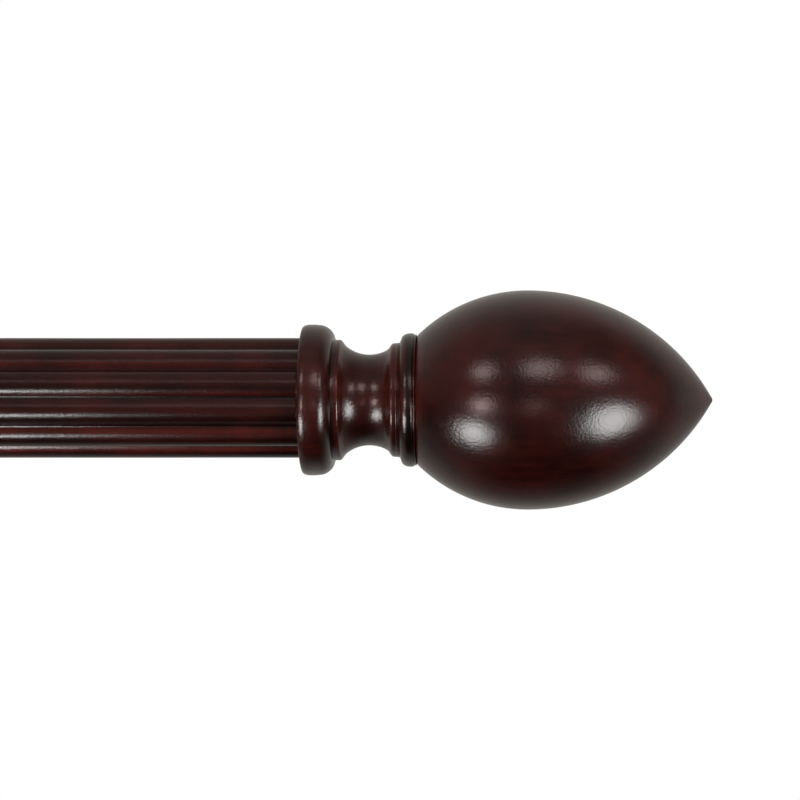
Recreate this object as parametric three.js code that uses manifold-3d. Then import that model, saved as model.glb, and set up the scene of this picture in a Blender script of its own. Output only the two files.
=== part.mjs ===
// A reeded wooden curtain pole with two turned finials and two turned wall brackets.
//
// Units are millimetres. X runs along the pole, -Y points away from the wall, +Z is up.
// The origin lies on the wall, midway between the brackets and level with the pole's axis.

import * as THREE from 'three';
import { mergeVertices } from 'three/addons/utils/BufferGeometryUtils.js';
import Module from 'manifold-3d';

const wasm = await Module();
wasm.setup();

// ---------------------------------------------------------------- driving dimensions

const GAP = 0.3; // between pieces that touch on the real object
const PROJECTION = 89; // wall to pole axis
const BRACKET_SPACING = 300;

const POLE_LENGTH = 610;
const REEDS = 12;
const REED_RADIUS = 4.43;
const REED_CIRCLE = 13.07; // the reeds' centres lie on this radius
const REED_STEPS = 4;

const FLANGE_RADIUS = 21.62;
const FLANGE_EDGE = { along: 1.55, radial: 1.15 }; // the rounding next to the pole
const SHOULDER = { at: 4.03, along: 4.63, radial: 3.91 }; // the long rounding on the other side
const STEP_RADIUS = 17.27;
const STEP_AT = 8.72;
const STEP_END = 11.3;
const NECK_RADIUS = 13.03;
const COVE_RADIUS = 10.5;
const NECK_AT = 18.95; // from the finial's face to its narrowest place
const BEAD_RADIUS = 16.36;
const BEAD_AT = 25.8;
const BEAD_END = 27.6;
const RING_RADIUS = 19.11;
const RING_AT = 30.58;
const RING_ROUND = { along: 2.45, radial: 1.75 };
const SEAM_AT = 32.58; // the bulb is a piece of its own, from here to the tip
const SEAM_RADIUS = 18.55;
const BULB_RADIUS = 31.4;
const BULB_AT = 64.26;
const BULB_BACK_CURVE = 45.1;
const BULB_NOSE_CURVE = 60.73;
const NOSE_RADIUS = 0.9; // where the blunt tip starts
const FINIAL_LENGTH = 117.3;

const STUD_RADIUS = 3.97; // 5/16 in hanger bolt
const STUD_DROP = 0.6; // the pole ends are drilled this far below the pole's axis
const STUD_IN_POLE = 16;
const STUD_IN_FINIAL = 18;
const POLE_INSERT_RADIUS = 5.9;
const POLE_INSERT_LENGTH = 14;
const FINIAL_DOWEL_RADIUS = 6;
const FINIAL_DOWEL_IN_BASE = 12;
const FINIAL_DOWEL_IN_BULB = 22;

const ROSETTE_RADIUS = 32;
const ROSETTE_DEPTH = 14;
const ROSETTE_STEP_RADIUS = 24;
const ROSETTE_TOP_RADIUS = 18;

const PLATE_RADIUS = 23;
const PLATE_DEPTH = 2.5;
const SCREW_SPACING = 29; // between the two wall screws, one above the other

const CUP_RADIUS = 17.85; // inside, round the pole
const CUP_WALL = 7.5;
const CUP_WIDTH = 24;
const CUP_RIM = 6; // the cup's straight sides rise this far above the pole's axis
const CUP_BEVEL = 1.2;
const ARM_END = 61.4; // from the wall to the seam between arm and cup
const ARM_END_RADIUS = 11.5;
const ARM_NECK_RADIUS = 8.6;

const BOLT_RADIUS = 3.17; // 1/4 in machine bolt through the rosette
const BOLT_HEAD_RADIUS = 6.3;
const BOLT_END = 34;
const ARM_INSERT_RADIUS = 5.2;
const ARM_INSERT_LENGTH = 13;
const ARM_DOWEL_RADIUS = 4;
const ARM_DOWEL_IN_ARM = 10;
const ARM_DOWEL_IN_CUP = 6.5;

const WALL_SCREW = { shank: 2.05, head: 4.1, length: 38 };
const SET_SCREW = { shank: 2.4, head: 4.6, headDepth: 3, slot: 1.2 };
const CUP_INSERT = { radius: 3.9, length: 6.6 };

const FINIAL_SIDES = 24;
const BRACKET_SIDES = 20;
const SMALL_SIDES = 10;

// ---------------------------------------------------------------- finishes

const MAHOGANY = { color: 0x3d1713, roughness: 0.28, metalness: 0 };
const BARE_WOOD = { color: 0xc6a174, roughness: 0.8, metalness: 0 };
const ZINC = { color: 0xa9abab, roughness: 0.35, metalness: 1 };
const BRASS = { color: 0xb5924c, roughness: 0.3, metalness: 1 };

// ---------------------------------------------------------------- helpers

const Z_TO_X = new THREE.Matrix4().makeBasis(
  new THREE.Vector3(0, 1, 0),
  new THREE.Vector3(0, 0, 1),
  new THREE.Vector3(1, 0, 0),
);

const degrees = THREE.MathUtils.degToRad;

function point(x, y) {
  return new THREE.Vector2(x, y);
}

/** Points on an ellipse round (cx, cy), both ends included. Angles are in degrees. */
function arc(cx, cy, rx, ry, from, to, steps) {
  return Array.from({ length: steps + 1 }, (_, i) => {
    const angle = degrees(from + ((to - from) * i) / steps);
    return point(cx + rx * Math.cos(angle), cy + ry * Math.sin(angle));
  });
}

/** A solid turned about +Y from an outline of (radius, distance along the axis). */
function turned(outline, sides) {
  const points = THREE.ShapeUtils.area(outline) < 0 ? [...outline].reverse() : outline;
  return new THREE.LatheGeometry(points, sides);
}

/** A plain or stepped rod turned about +Y, from [radius, distance] pairs between its end centres. */
function rod(steps, sides = SMALL_SIDES) {
  const outline = steps.map(([radius, along]) => point(radius, along));
  return turned([point(0, outline[0].y), ...outline, point(0, outline.at(-1).y)], sides);
}

/** A plain tube turned about +Y. */
function tube(inner, outer, from, to, sides = SMALL_SIDES) {
  const corners = [point(inner, from), point(outer, from), point(outer, to), point(inner, to)];
  return turned([...corners, corners[0]], sides);
}

function solid(geometry) {
  geometry.deleteAttribute('normal');
  geometry.deleteAttribute('uv');
  const welded = mergeVertices(geometry);
  const corners = [];
  for (let i = 0; i < welded.index.count; i += 3) {
    const triangle = [0, 1, 2].map((k) => welded.index.getX(i + k));
    if (new Set(triangle).size === 3) corners.push(...triangle);
  }
  return new wasm.Manifold(
    new wasm.Mesh({
      numProp: 3,
      vertProperties: new Float32Array(welded.attributes.position.array),
      triVerts: new Uint32Array(corners),
    }),
  );
}

function surface(body) {
  const { vertProperties, triVerts } = body.getMesh();
  const geometry = new THREE.BufferGeometry();
  geometry.setAttribute('position', new THREE.Float32BufferAttribute(vertProperties, 3));
  geometry.setIndex(new THREE.BufferAttribute(triVerts, 1));
  return geometry;
}

function cut(geometry, ...tools) {
  return surface(tools.reduce((body, tool) => body.subtract(solid(tool)), solid(geometry)));
}

function join(geometry, other) {
  return surface(solid(geometry).add(solid(other)));
}

function alongX(geometry) {
  return geometry.rotateZ(-Math.PI / 2);
}

function alongZ(geometry) {
  return geometry.rotateX(Math.PI / 2);
}

function piece(name, geometry, finish) {
  const mesh = new THREE.Mesh(geometry, new THREE.MeshStandardMaterial(finish));
  mesh.name = name;
  return mesh;
}

// ---------------------------------------------------------------- pole

/** The section: twelve round reeds side by side, with a groove at the front, top, back and bottom. */
function reededSection() {
  const pitch = 360 / REEDS;
  const halfPitch = degrees(pitch / 2);
  const chord = REED_CIRCLE * Math.sin(halfPitch);
  const groove = REED_CIRCLE * Math.cos(halfPitch) + Math.sqrt(REED_RADIUS ** 2 - chord ** 2);
  const reach = Math.atan2(groove * Math.sin(halfPitch), groove * Math.cos(halfPitch) - REED_CIRCLE);
  const halfReach = THREE.MathUtils.radToDeg(reach);
  const outline = [];
  for (let reed = 0; reed < REEDS; reed += 1) {
    const at = (reed + 0.5) * pitch;
    const centre = point(REED_CIRCLE, 0).rotateAround(point(0, 0), degrees(at));
    const [from, to] = [at - halfReach, at + halfReach];
    const round = arc(centre.x, centre.y, REED_RADIUS, REED_RADIUS, from, to, REED_STEPS);
    outline.push(...round.slice(0, -1));
  }
  return new THREE.Shape(outline);
}

/** The hole in a pole end: wide for the insert, then narrow for the stud's tip. */
function poleEndBore(side) {
  const wide = POLE_INSERT_RADIUS + GAP;
  const narrow = STUD_RADIUS + GAP;
  const shoulder = POLE_INSERT_LENGTH + 2 * GAP;
  const bore = rod([[wide, -1], [wide, shoulder], [narrow, shoulder], [narrow, STUD_IN_POLE + 2]]);
  bore.rotateZ((side * Math.PI) / 2);
  return bore.translate((side * POLE_LENGTH) / 2, 0, -STUD_DROP);
}

function pole() {
  const blank = new THREE.ExtrudeGeometry(reededSection(), { depth: POLE_LENGTH, bevelEnabled: false });
  blank.translate(0, 0, -POLE_LENGTH / 2).applyMatrix4(Z_TO_X);
  const mesh = piece('pole', cut(blank, poleEndBore(1), poleEndBore(-1)), MAHOGANY);
  mesh.position.y = -PROJECTION;
  return mesh;
}

// ---------------------------------------------------------------- finial, turned about its own axis

/** Flange, step, cove, bead and ring, from the face that meets the pole to the seam with the bulb. */
function finialBaseOutline() {
  const edgeCentre = FLANGE_RADIUS - FLANGE_EDGE.radial;
  const shoulderCentre = FLANGE_RADIUS - SHOULDER.radial;
  const coveCentre = NECK_RADIUS + COVE_RADIUS;
  const ringCentre = RING_RADIUS - RING_ROUND.radial;
  const studBore = STUD_RADIUS + GAP;
  const dowelBore = FINIAL_DOWEL_RADIUS + GAP;
  const dowelFloor = SEAM_AT - FINIAL_DOWEL_IN_BASE - GAP;
  return [
    point(0, STUD_IN_FINIAL + GAP),
    point(studBore, STUD_IN_FINIAL + GAP),
    point(studBore, 0),
    ...arc(edgeCentre, FLANGE_EDGE.along, FLANGE_EDGE.radial, FLANGE_EDGE.along, -90, 0, 3),
    ...arc(shoulderCentre, SHOULDER.at, SHOULDER.radial, SHOULDER.along, 0, 90, 4),
    point(STEP_RADIUS, STEP_AT),
    point(STEP_RADIUS, STEP_END - 0.6),
    point(STEP_RADIUS - 0.5, STEP_END),
    ...arc(coveCentre, NECK_AT, COVE_RADIUS, COVE_RADIUS, 220.5, 152, 5),
    point(BEAD_RADIUS - 0.3, BEAD_AT - 0.4),
    point(BEAD_RADIUS, BEAD_AT),
    point(BEAD_RADIUS, BEAD_END),
    ...arc(ringCentre, RING_AT, RING_ROUND.radial, RING_ROUND.along, -84, 50, 4),
    point(SEAM_RADIUS, SEAM_AT),
    point(dowelBore, SEAM_AT),
    point(dowelBore, dowelFloor),
    point(0, dowelFloor),
  ];
}

/** The bulb: two tangent curves that meet at its widest place, closed by a blunt tip. */
function finialBulbOutline() {
  const face = SEAM_AT + GAP;
  const backCentre = BULB_RADIUS - BULB_BACK_CURVE;
  const noseCentre = BULB_RADIUS - BULB_NOSE_CURVE;
  const backFrom = THREE.MathUtils.radToDeg(Math.asin((face - BULB_AT) / BULB_BACK_CURVE));
  const noseTo = THREE.MathUtils.radToDeg(Math.acos((NOSE_RADIUS - noseCentre) / BULB_NOSE_CURVE));
  const dowelBore = FINIAL_DOWEL_RADIUS + GAP;
  const dowelFloor = face + FINIAL_DOWEL_IN_BULB + GAP;
  return [
    point(0, dowelFloor),
    point(dowelBore, dowelFloor),
    point(dowelBore, face),
    ...arc(backCentre, BULB_AT, BULB_BACK_CURVE, BULB_BACK_CURVE, backFrom, 0, 5),
    ...arc(noseCentre, BULB_AT, BULB_NOSE_CURVE, BULB_NOSE_CURVE, 0, noseTo, 8).slice(1),
    point(0, FINIAL_LENGTH),
  ];
}

function finial(side) {
  const group = new THREE.Group();
  const dowelFrom = SEAM_AT - FINIAL_DOWEL_IN_BASE;
  const dowelTo = SEAM_AT + GAP + FINIAL_DOWEL_IN_BULB;
  const stud = [
    [STUD_RADIUS - 0.8, -STUD_IN_POLE],
    [STUD_RADIUS, 0.8 - STUD_IN_POLE],
    [STUD_RADIUS, STUD_IN_FINIAL - 6],
    [1.2, STUD_IN_FINIAL],
  ];
  const dowel = [
    [FINIAL_DOWEL_RADIUS - 1, dowelFrom],
    [FINIAL_DOWEL_RADIUS, dowelFrom + 1],
    [FINIAL_DOWEL_RADIUS, dowelTo - 1],
    [FINIAL_DOWEL_RADIUS - 1, dowelTo],
  ];
  const insertTo = -2 * GAP;
  const insertFrom = insertTo - POLE_INSERT_LENGTH + GAP;
  const insert = tube(STUD_RADIUS + GAP, POLE_INSERT_RADIUS, insertFrom, insertTo);
  group.add(
    piece(`finial_base_${side}`, alongX(turned(finialBaseOutline(), FINIAL_SIDES)), MAHOGANY),
    piece(`finial_bulb_${side}`, alongX(turned(finialBulbOutline(), FINIAL_SIDES)), MAHOGANY),
    piece(`finial_dowel_${side}`, alongX(rod(dowel)), BARE_WOOD),
    piece(`finial_stud_${side}`, alongX(rod(stud)), ZINC),
    piece(`pole_insert_${side}`, alongX(insert), BRASS),
  );
  const sign = side === 'right' ? 1 : -1;
  group.position.set(sign * (POLE_LENGTH / 2 + GAP), -PROJECTION, -STUD_DROP);
  group.rotation.z = side === 'right' ? 0 : Math.PI;
  return group;
}

// ---------------------------------------------------------------- bracket, with +Y out from the wall

/** A moulded disc with a recess at its back for the steel plate. */
function rosetteOutline() {
  const recess = PLATE_RADIUS + 2 * GAP;
  const floor = PLATE_DEPTH + GAP;
  const hole = BOLT_RADIUS + GAP;
  const coveDepth = ROSETTE_DEPTH - 8.5;
  const outline = [
    point(recess, 0),
    point(ROSETTE_RADIUS - 0.8, 0),
    ...arc(ROSETTE_RADIUS - 3.4, 3.6, 3.4, 3.4, 0, 90, 3),
    point(ROSETTE_STEP_RADIUS + 1.6, 7.4),
    point(ROSETTE_STEP_RADIUS, 8.5),
    ...arc(ROSETTE_STEP_RADIUS, ROSETTE_DEPTH, 6, coveDepth, 270, 180, 3),
    point(ROSETTE_TOP_RADIUS - 0.8, ROSETTE_DEPTH),
    point(hole, ROSETTE_DEPTH),
    point(hole, floor),
    point(recess, floor),
  ];
  return [...outline, outline[0]];
}

/** The arm: a flared foot on the rosette, a cove, a bead and a drum that meets the cup. */
function armOutline() {
  const foot = ROSETTE_DEPTH + GAP;
  const insertBore = ARM_INSERT_RADIUS + GAP;
  const insertFloor = foot + ARM_INSERT_LENGTH + 3 * GAP;
  const boltBore = BOLT_RADIUS + GAP;
  const dowelBore = ARM_DOWEL_RADIUS + GAP;
  const dowelFloor = ARM_END - ARM_DOWEL_IN_ARM - GAP;
  const neck = foot + 15;
  const neckCurve = 7;
  return [
    point(0, BOLT_END + 1),
    point(boltBore, BOLT_END + 1),
    point(boltBore, insertFloor),
    point(insertBore, insertFloor),
    point(insertBore, foot),
    ...arc(ARM_NECK_RADIUS + neckCurve - 1.8, foot + 1.8, 1.8, 1.8, -90, 45, 2),
    ...arc(ARM_NECK_RADIUS + neckCurve, neck, neckCurve, 11, 225, 180, 3),
    point(ARM_NECK_RADIUS, 43),
    point(ARM_NECK_RADIUS + 0.8, 44.2),
    ...arc(ARM_NECK_RADIUS + 1.2, 46.6, 3, 2.2, -80, 80, 4),
    point(ARM_NECK_RADIUS + 0.8, 49.2),
    point(ARM_NECK_RADIUS + 0.6, 51),
    ...arc(ARM_END_RADIUS - 1.6, 54.6, 1.6, 2.2, -90, 0, 2),
    point(ARM_END_RADIUS, ARM_END),
    point(dowelBore, ARM_END),
    point(dowelBore, dowelFloor),
    point(0, dowelFloor),
  ];
}

/** The cup's section across the pole: a U, open at the top, with round tips. */
function cupSection() {
  const outer = CUP_RADIUS + CUP_WALL;
  const tip = CUP_WALL / 2;
  const tipAt = CUP_RADIUS + tip;
  return new THREE.Shape([
    ...arc(0, 0, outer, outer, -180, 0, 16),
    ...arc(tipAt, CUP_RIM, tip, tip, 0, 180, 4),
    ...arc(0, 0, CUP_RADIUS, CUP_RADIUS, 0, -180, 16),
    ...arc(-tipAt, CUP_RIM, tip, tip, 0, 180, 4),
  ]);
}

/** A drum at the cup's back that the arm's end meets, and holes for the dowel and the set screw. */
function cup() {
  const blank = new THREE.ExtrudeGeometry(cupSection(), {
    depth: CUP_WIDTH - 2 * CUP_BEVEL,
    bevelThickness: CUP_BEVEL,
    bevelSize: CUP_BEVEL,
    bevelOffset: -CUP_BEVEL,
    bevelSegments: 1,
  });
  blank.translate(0, 0, CUP_BEVEL - CUP_WIDTH / 2).applyMatrix4(Z_TO_X).translate(0, PROJECTION, 0);
  const face = ARM_END + GAP;
  const drum = rod([[ARM_END_RADIUS, face], [ARM_END_RADIUS, face + 6]], BRACKET_SIDES);
  const dowelBore = rod([
    [ARM_DOWEL_RADIUS + GAP, face - 1],
    [ARM_DOWEL_RADIUS + GAP, face + ARM_DOWEL_IN_CUP + GAP],
  ]);
  const bottom = CUP_RADIUS + CUP_WALL;
  const insertHole = CUP_INSERT.radius + GAP;
  const insertBore = rod([[insertHole, -bottom - 1], [insertHole, 1 - CUP_RADIUS]]);
  return cut(join(blank, drum), dowelBore, alongZ(insertBore).translate(0, PROJECTION, 0));
}

/** A steel disc with a countersunk hole at its back for the bolt and two at its front for screws. */
function wallPlate() {
  const blank = turned(
    [point(0, 0), point(PLATE_RADIUS, 0), point(PLATE_RADIUS, PLATE_DEPTH), point(0, PLATE_DEPTH)],
    BRACKET_SIDES,
  );
  const boltHole = rod([
    [BOLT_HEAD_RADIUS + GAP, -1],
    [BOLT_HEAD_RADIUS + GAP, 0.6],
    [BOLT_RADIUS + GAP, PLATE_DEPTH - 0.1],
    [BOLT_RADIUS + GAP, PLATE_DEPTH + 1],
  ]);
  const screwHole = (up) => rod([
    [WALL_SCREW.shank + GAP, -1],
    [WALL_SCREW.shank + GAP, 0.1],
    [WALL_SCREW.head + GAP, PLATE_DEPTH - 0.3],
    [WALL_SCREW.head + GAP, PLATE_DEPTH + 1],
  ]).translate(0, 0, (up * SCREW_SPACING) / 2);
  return cut(blank, boltHole, screwHole(1), screwHole(-1));
}

/** A countersunk wood screw that points into the wall. */
function wallScrew(up) {
  const { shank, head, length } = WALL_SCREW;
  const top = PLATE_DEPTH - 0.1;
  const body = rod([
    [0.5, top - length],
    [shank, top - length + 6],
    [shank, 0.3],
    [head, top - 0.1],
    [head, top],
  ]);
  return body.translate(0, 0, (up * SCREW_SPACING) / 2);
}

/** The set screw stands upright below the pole, with a slotted head. */
function setScrew() {
  const { shank, head, headDepth, slot } = SET_SCREW;
  const tip = -CUP_RADIUS;
  const shoulder = -CUP_RADIUS - CUP_WALL - 0.8;
  const body = rod([
    [head - 0.5, shoulder - headDepth],
    [head, shoulder - headDepth + 0.5],
    [head, shoulder],
    [shank, shoulder],
    [shank, tip - 0.6],
    [shank - 0.6, tip],
  ]);
  const slotTool = new THREE.BoxGeometry(slot, 2 * head + 2, 2).translate(0, 0, shoulder - headDepth);
  return cut(alongZ(body), slotTool).translate(0, PROJECTION, 0);
}

function bracket(side) {
  const group = new THREE.Group();
  const bolt = [
    [BOLT_HEAD_RADIUS, 0.1],
    [BOLT_HEAD_RADIUS, 0.4],
    [BOLT_RADIUS, PLATE_DEPTH - 0.3],
    [BOLT_RADIUS, BOLT_END - 0.8],
    [BOLT_RADIUS - 0.8, BOLT_END],
  ];
  const foot = ROSETTE_DEPTH + GAP;
  const insertFrom = foot + GAP;
  const armInsert = tube(BOLT_RADIUS + GAP, ARM_INSERT_RADIUS, insertFrom, insertFrom + ARM_INSERT_LENGTH);
  const dowelFrom = ARM_END - ARM_DOWEL_IN_ARM;
  const dowelTo = ARM_END + GAP + ARM_DOWEL_IN_CUP;
  const dowel = [
    [ARM_DOWEL_RADIUS - 0.7, dowelFrom],
    [ARM_DOWEL_RADIUS, dowelFrom + 0.7],
    [ARM_DOWEL_RADIUS, dowelTo - 0.7],
    [ARM_DOWEL_RADIUS - 0.7, dowelTo],
  ];
  const bottom = -CUP_RADIUS - CUP_WALL + 0.4;
  const cupInsert = tube(SET_SCREW.shank + GAP, CUP_INSERT.radius, bottom, bottom + CUP_INSERT.length);
  group.add(
    piece(`wall_plate_${side}`, wallPlate(), ZINC),
    piece(`rosette_${side}`, turned(rosetteOutline(), FINIAL_SIDES), MAHOGANY),
    piece(`arm_${side}`, turned(armOutline(), BRACKET_SIDES), MAHOGANY),
    piece(`arm_bolt_${side}`, rod(bolt), ZINC),
    piece(`arm_insert_${side}`, armInsert, BRASS),
    piece(`arm_dowel_${side}`, rod(dowel), BARE_WOOD),
    piece(`cup_${side}`, cup(), MAHOGANY),
    piece(`cup_insert_${side}`, alongZ(cupInsert).translate(0, PROJECTION, 0), BRASS),
    piece(`set_screw_${side}`, setScrew(), BRASS),
    piece(`wall_screw_upper_${side}`, wallScrew(1), ZINC),
    piece(`wall_screw_lower_${side}`, wallScrew(-1), ZINC),
  );
  group.position.x = ((side === 'right' ? 1 : -1) * BRACKET_SPACING) / 2;
  group.rotation.z = Math.PI;
  return group;
}

// ---------------------------------------------------------------- the whole object

const curtainRod = new THREE.Group();
curtainRod.add(pole());
for (const side of ['right', 'left']) {
  curtainRod.add(finial(side), bracket(side));
}

export default curtainRod;
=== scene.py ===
import math

import bmesh
import bpy
from mathutils import Matrix, Vector, noise


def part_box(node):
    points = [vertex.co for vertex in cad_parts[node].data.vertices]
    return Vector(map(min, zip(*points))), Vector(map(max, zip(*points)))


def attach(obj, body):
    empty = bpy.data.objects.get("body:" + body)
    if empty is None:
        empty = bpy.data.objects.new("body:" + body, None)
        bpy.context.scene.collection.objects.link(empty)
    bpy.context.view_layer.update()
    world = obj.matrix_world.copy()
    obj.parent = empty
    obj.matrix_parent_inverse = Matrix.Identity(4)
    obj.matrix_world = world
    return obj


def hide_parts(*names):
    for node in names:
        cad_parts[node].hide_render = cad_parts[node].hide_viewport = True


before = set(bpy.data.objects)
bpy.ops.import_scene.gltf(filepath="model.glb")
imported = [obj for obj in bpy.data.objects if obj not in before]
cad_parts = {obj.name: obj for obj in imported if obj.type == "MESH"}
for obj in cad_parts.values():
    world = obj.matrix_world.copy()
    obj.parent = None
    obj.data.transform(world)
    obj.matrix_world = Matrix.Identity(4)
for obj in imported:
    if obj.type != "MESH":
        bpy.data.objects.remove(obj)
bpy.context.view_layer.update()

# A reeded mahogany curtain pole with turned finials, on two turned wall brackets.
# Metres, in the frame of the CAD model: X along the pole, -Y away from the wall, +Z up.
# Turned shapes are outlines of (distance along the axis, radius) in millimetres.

MM = 0.001
SIDES = ("right", "left")


def centre(node):
    low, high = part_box(node)
    return (low + high) / 2


# ---------------------------------------------------------------- places, from the frame

POLE_LOW, POLE_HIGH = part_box("pole")
POLE_AXIS = centre("pole")
FINIAL_AXIS = centre("finial_bulb_right")
FINIAL_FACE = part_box("finial_base_right")[0].x
FINIAL_DROP = POLE_AXIS.z - FINIAL_AXIS.z
WALL_TO_POLE = -POLE_AXIS.y / MM


def finial_place(side):
    """Local X runs out from the flange's face to the tip."""
    sign = 1 if side == "right" else -1
    turn = Matrix.Rotation(0 if sign > 0 else math.pi, 4, "Z")
    return Matrix.Translation((sign * FINIAL_FACE, FINIAL_AXIS.y, FINIAL_AXIS.z)) @ turn


def bracket_place(side):
    """Local X runs out from the wall to the pole."""
    at = centre(f"cup_{side}")
    return Matrix.Translation((at.x, 0, 0)) @ Matrix.Rotation(-math.pi / 2, 4, "Z")


def set_screw_place(side):
    """Local X runs up, from the pole's axis."""
    at = centre(f"cup_{side}")
    return Matrix.Translation((at.x, POLE_AXIS.y, 0)) @ Matrix.Rotation(-math.pi / 2, 4, "Y")


# ---------------------------------------------------------------- camera

LENS = 81.0  # mm
SENSOR = 36  # mm
CAMERA_DISTANCE = 0.5164  # from the pole's axis
CAMERA_PAST_FACE = 0.052  # the lens is opposite the finial, this far past its flange's face
FRAME_SHIFT = -0.106  # the picture's middle lies left of the lens, in frame widths
camera_data = bpy.data.cameras.new("camera")
camera_data.lens = LENS
camera_data.sensor_width = SENSOR
camera_data.shift_x = FRAME_SHIFT
camera = bpy.data.objects.new("camera", camera_data)
camera.location = (FINIAL_FACE + CAMERA_PAST_FACE, POLE_AXIS.y - CAMERA_DISTANCE, FINIAL_AXIS.z)
camera.rotation_euler = (math.pi / 2, 0, 0)
bpy.context.scene.collection.objects.link(camera)
bpy.context.scene.camera = camera
bpy.context.scene.view_settings.view_transform = "Standard"

# ---------------------------------------------------------------- shader helpers


class Shader:
    """A node tree that is written one node at a time."""

    def __init__(self, tree):
        self.tree = tree
        self.tree.nodes.clear()

    def add(self, kind, sockets=None, **settings):
        node = self.tree.nodes.new(kind)
        for key, value in settings.items():
            setattr(node, key, value)
        for key, value in (sockets or {}).items():
            if isinstance(value, bpy.types.NodeSocket):
                self.tree.links.new(value, node.inputs[key])
            else:
                node.inputs[key].default_value = value
        return node

    def ramp(self, factor, stops):
        node = self.add("ShaderNodeValToRGB", {"Fac": factor})
        elements = node.color_ramp.elements
        while len(elements) < len(stops):
            elements.new(0.5)
        for element, (position, color) in zip(elements, stops):
            element.position = position
            element.color = (*color, 1)
        return node.outputs["Color"]

    def noise(self, vector, scale, detail, roughness):
        sockets = {"Vector": vector, "Scale": scale, "Detail": detail, "Roughness": roughness}
        return self.add("ShaderNodeTexNoise", sockets).outputs["Fac"]

    def math(self, operation, a, b=0.0):
        return self.add("ShaderNodeMath", {0: a, 1: b}, operation=operation).outputs[0]

    def map_range(self, value, start, end, first=0.0, last=1.0):
        sockets = {0: value, 1: start, 2: end, 3: first, 4: last}
        return self.add("ShaderNodeMapRange", sockets).outputs[0]

    def map_noise(self, value, first, last):
        """Spreads the middle of a noise's range from first to last."""
        return self.map_range(value, 0.3, 0.7, first, last)

    def bump(self, height, strength, distance, normal=None):
        sockets = {"Height": height, "Strength": strength, "Distance": distance}
        if normal is not None:
            sockets["Normal"] = normal
        return self.add("ShaderNodeBump", sockets).outputs["Normal"]


def new_material(name):
    material = bpy.data.materials.new(name)
    material.use_nodes = True
    return material, Shader(material.node_tree)


def surface(shader, sockets):
    principled = shader.add("ShaderNodeBsdfPrincipled", sockets)
    shader.add("ShaderNodeOutputMaterial", {"Surface": principled.outputs["BSDF"]})


def grain_space(shader, along, ratio):
    """Object coordinates, in metres, squeezed along the grain."""
    scale = [1.0, 1.0, 1.0]
    scale["XYZ".index(along)] = ratio
    coords = shader.add("ShaderNodeTexCoord").outputs["Object"]
    stretched = shader.add("ShaderNodeMapping", {"Vector": coords, "Scale": scale})
    return coords, stretched.outputs["Vector"]


# ---------------------------------------------------------------- materials

# Darkest to reddest. A piece's tone attribute, about -1 to 1, holds rubbed wear together with
# painted shade and painted highlight, and moves its tone along this ramp.
STAIN = [
    (0.16, (0.0028, 0.0009, 0.0007)),
    (0.36, (0.0090, 0.0016, 0.0011)),
    (0.50, (0.0205, 0.0029, 0.0020)),
    (0.66, (0.0360, 0.0046, 0.0033)),
    (1.00, (0.0850, 0.0120, 0.0088)),
]
STAIN_ROUGHNESS = (0.36, 0.48)  # under the lacquer
WEAR_AND_LIGHT_REACH = 0.4  # how far a value of 1 of wear and painted light moves the tone
GRAIN_STRETCH = 0.06
STREAK_SCALE = 520  # noise scales are per metre
CLOUD_SCALE = 46
CLOUD_SHARE = 0.72  # of the tone's unevenness; the streaks make the rest
RUBBED_SCALE = 95
PEEL_SIZE = 0.0006  # the lacquer's orange peel
PEEL_HEIGHT = 0.00011
SAG_SCALE = 150  # the lacquer's slow waves
SAG_HEIGHT = 0.00015
LACQUER_ROUGHNESS = 0.225
LACQUER_IOR = 1.5


def mahogany(name, along):
    """Dark red stain, uneven in the grain, under a clear satin lacquer with some orange peel."""
    material, shader = new_material(name)
    coords, stretched = grain_space(shader, along, GRAIN_STRETCH)
    cloud = shader.noise(coords, CLOUD_SCALE, 4, 0.6)
    streaks = shader.noise(stretched, STREAK_SCALE, 4, 0.55)
    tone = shader.math("MULTIPLY", streaks, 1 - CLOUD_SHARE)
    tone = shader.math("ADD", tone, shader.math("MULTIPLY", cloud, CLOUD_SHARE))
    # The attribute holds rubbed wear together with painted shade and painted highlight, one value
    # for each point.
    wear_and_painted_light = shader.add("ShaderNodeAttribute", attribute_name="wear_and_painted_light").outputs["Fac"]
    tone = shader.math("ADD", tone, shader.math("MULTIPLY", wear_and_painted_light, WEAR_AND_LIGHT_REACH))
    peel = shader.noise(coords, 1 / PEEL_SIZE, 2, 0.5)
    sag = shader.noise(coords, SAG_SCALE, 2, 0.5)
    lacquer = shader.bump(peel, 0.5, PEEL_HEIGHT)
    lacquer = shader.bump(sag, 0.3, SAG_HEIGHT, lacquer)
    rubbed = shader.noise(coords, RUBBED_SCALE, 4, 0.6)
    surface(shader, {
        "Base Color": shader.ramp(tone, STAIN),
        "Roughness": shader.map_noise(rubbed, *STAIN_ROUGHNESS),
        "Specular IOR Level": 0.0,
        "Normal": lacquer,
        "Coat Weight": 1.0,
        "Coat Roughness": LACQUER_ROUGHNESS,
        "Coat IOR": LACQUER_IOR,
        "Coat Normal": lacquer,
    })
    return material


BARE_GRAIN = [(0.3, (0.30, 0.17, 0.075)), (0.7, (0.62, 0.43, 0.23))]
BARE_STRETCH = 0.08
BARE_GRAIN_SCALE = 900
FUZZ_SCALE = 3000
FUZZ_HEIGHT = 0.00005


def bare_wood(name, along):
    """Unfinished dowel wood with fine grain and raised fibres."""
    material, shader = new_material(name)
    stretched = grain_space(shader, along, BARE_STRETCH)[1]
    grain = shader.noise(stretched, BARE_GRAIN_SCALE, 5, 0.6)
    fuzz = shader.noise(stretched, FUZZ_SCALE, 3, 0.6)
    surface(shader, {
        "Base Color": shader.ramp(grain, BARE_GRAIN),
        "Roughness": 0.75,
        "Normal": shader.bump(fuzz, 0.4, FUZZ_HEIGHT),
    })
    return material


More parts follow.
